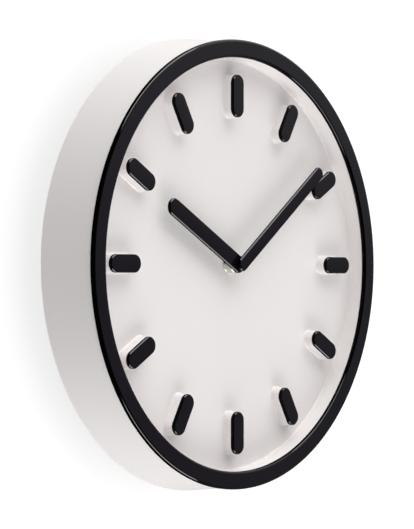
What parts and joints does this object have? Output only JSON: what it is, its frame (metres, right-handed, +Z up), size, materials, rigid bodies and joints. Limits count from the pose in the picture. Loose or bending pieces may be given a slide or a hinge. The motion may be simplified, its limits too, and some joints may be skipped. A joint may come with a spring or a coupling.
{
  "type": "wall clock",
  "caption": "Round wall clock: white drum case with a sunken dial, black bezel ring, raised bar marks, bar hands and a quartz movement behind the dial.",
  "frame": {"origin": "on the dial's axis, in the plane of the wall that the rear rim rests on", "axes": "+Z up to twelve, -Y out of the dial towards the viewer, +X to three as seen from the front"},
  "size_m": [0.3598, 0.05, 0.3598],
  "materials": {
    "white_moulding": "smooth warm white moulded plastic",
    "black_moulding": "satin black moulded plastic",
    "hand_black": "satin black moulded plastic",
    "zinc_steel": "zinc plated steel",
    "nickel": "bright nickel plate",
    "gasket_rubber": "matt black rubber",
    "movement_black": "fine textured black plastic",
    "knob_plastic": "ridged grey plastic",
    "natural_plastic": "unpainted wheel plastic",
    "arbor_brass": "turned brass",
    "magnet": "dark magnet on a steel arbor",
    "core_steel": "bare soft iron",
    "copper_wire": "enamelled copper wire",
    "board_green": "green solder mask",
    "can_silver": "drawn metal can",
    "cell_jacket": "plain printed jacket with bare metal ends",
    "contact_nickel": "nickel plated spring strip"
  },
  "bodies": {
    "case": {"case_shell": "white_moulding", "dial_tray": "white_moulding", "bezel_ring": "black_moulding", "hour_marker_01": "black_moulding", "hour_marker_02": "black_moulding", "hour_marker_03": "black_moulding", "hour_marker_04": "black_moulding", "hour_marker_05": "black_moulding", "hour_marker_06": "black_moulding", "hour_marker_07": "black_moulding", "hour_marker_08": "black_moulding", "hour_marker_09": "black_moulding", "hour_marker_10": "black_moulding", "hour_marker_11": "black_moulding", "hour_marker_12": "black_moulding", "bezel_screws": "zinc_steel", "hanger_screws": "zinc_steel", "hanger_plate": "zinc_steel", "centre_bush": "arbor_brass", "collar_nut": "nickel", "dial_washer": "nickel", "rubber_gasket": "gasket_rubber", "movement_base": "movement_black", "movement_cover": "movement_black", "train_bridge": "natural_plastic", "stator": "core_steel", "coil_core": "core_steel", "coil_bobbin": "natural_plastic", "coil_winding": "copper_wire", "circuit_board": "board_green", "quartz_crystal": "can_silver", "aa_cell": "cell_jacket", "contact_positive": "contact_nickel", "contact_negative": "contact_nickel"},
    "minute_hand": {"minute_hand": "hand_black", "minute_arbor": "arbor_brass"},
    "hour_hand": {"hour_hand": "hand_black", "hour_wheel": "natural_plastic"},
    "setting_knob": {"setting_knob": "knob_plastic"},
    "transfer_wheel": {"transfer_wheel": "natural_plastic"},
    "centre_wheel": {"centre_wheel": "natural_plastic"},
    "third_wheel": {"third_wheel": "natural_plastic"},
    "seconds_wheel": {"seconds_wheel": "natural_plastic"},
    "intermediate_wheel": {"intermediate_wheel": "natural_plastic"},
    "rotor": {"rotor": "magnet"}
  },
  "joints": [
    {"name": "minute_hand_turn", "type": "hinge", "parent": "case", "child": "minute_hand", "pos_m": [0, -0.047, 0], "axis": [0, 1, 0], "continuous": true},
    {"name": "hour_hand_turn", "type": "hinge", "parent": "case", "child": "hour_hand", "pos_m": [0, -0.0427, 0], "axis": [0, 1, 0], "continuous": true},
    {"name": "setting_knob_turn", "type": "hinge", "parent": "case", "child": "setting_knob", "pos_m": [-0.01299, -0.0114, 0.0075], "axis": [0, 1, 0], "continuous": true},
    {"name": "transfer_wheel_turn", "type": "hinge", "parent": "case", "child": "transfer_wheel", "pos_m": [-0.00649, -0.02535, 0.00375], "axis": [0, 1, 0], "continuous": true},
    {"name": "centre_wheel_turn", "type": "hinge", "parent": "case", "child": "centre_wheel", "pos_m": [0, -0.02415, 0], "axis": [0, 1, 0], "continuous": true},
    {"name": "third_wheel_turn", "type": "hinge", "parent": "case", "child": "third_wheel", "pos_m": [0.00767, -0.02305, 0.00279], "axis": [0, 1, 0], "continuous": true},
    {"name": "seconds_wheel_turn", "type": "hinge", "parent": "case", "child": "seconds_wheel", "pos_m": [0, -0.02055, 0], "axis": [0, 1, 0], "continuous": true},
    {"name": "intermediate_wheel_turn", "type": "hinge", "parent": "case", "child": "intermediate_wheel", "pos_m": [-0.00104, -0.01945, 0.00591], "axis": [0, 1, 0], "continuous": true},
    {"name": "rotor_turn", "type": "hinge", "parent": "case", "child": "rotor", "pos_m": [-0.00007, -0.0179, 0.01142], "axis": [0, 1, 0], "continuous": true}
  ],
  "couplings": [
    {"joint": "hour_hand_turn", "follows": "minute_hand_turn", "ratio": 0.083333},
    {"joint": "transfer_wheel_turn", "follows": "minute_hand_turn", "ratio": -0.33333},
    {"joint": "setting_knob_turn", "follows": "minute_hand_turn", "ratio": 1},
    {"joint": "intermediate_wheel_turn", "follows": "rotor_turn", "ratio": -0.16667},
    {"joint": "seconds_wheel_turn", "follows": "rotor_turn", "ratio": 0.033333},
    {"joint": "third_wheel_turn", "follows": "rotor_turn", "ratio": -0.0041667},
    {"joint": "centre_wheel_turn", "follows": "rotor_turn", "ratio": 0.00055556}
  ]
}
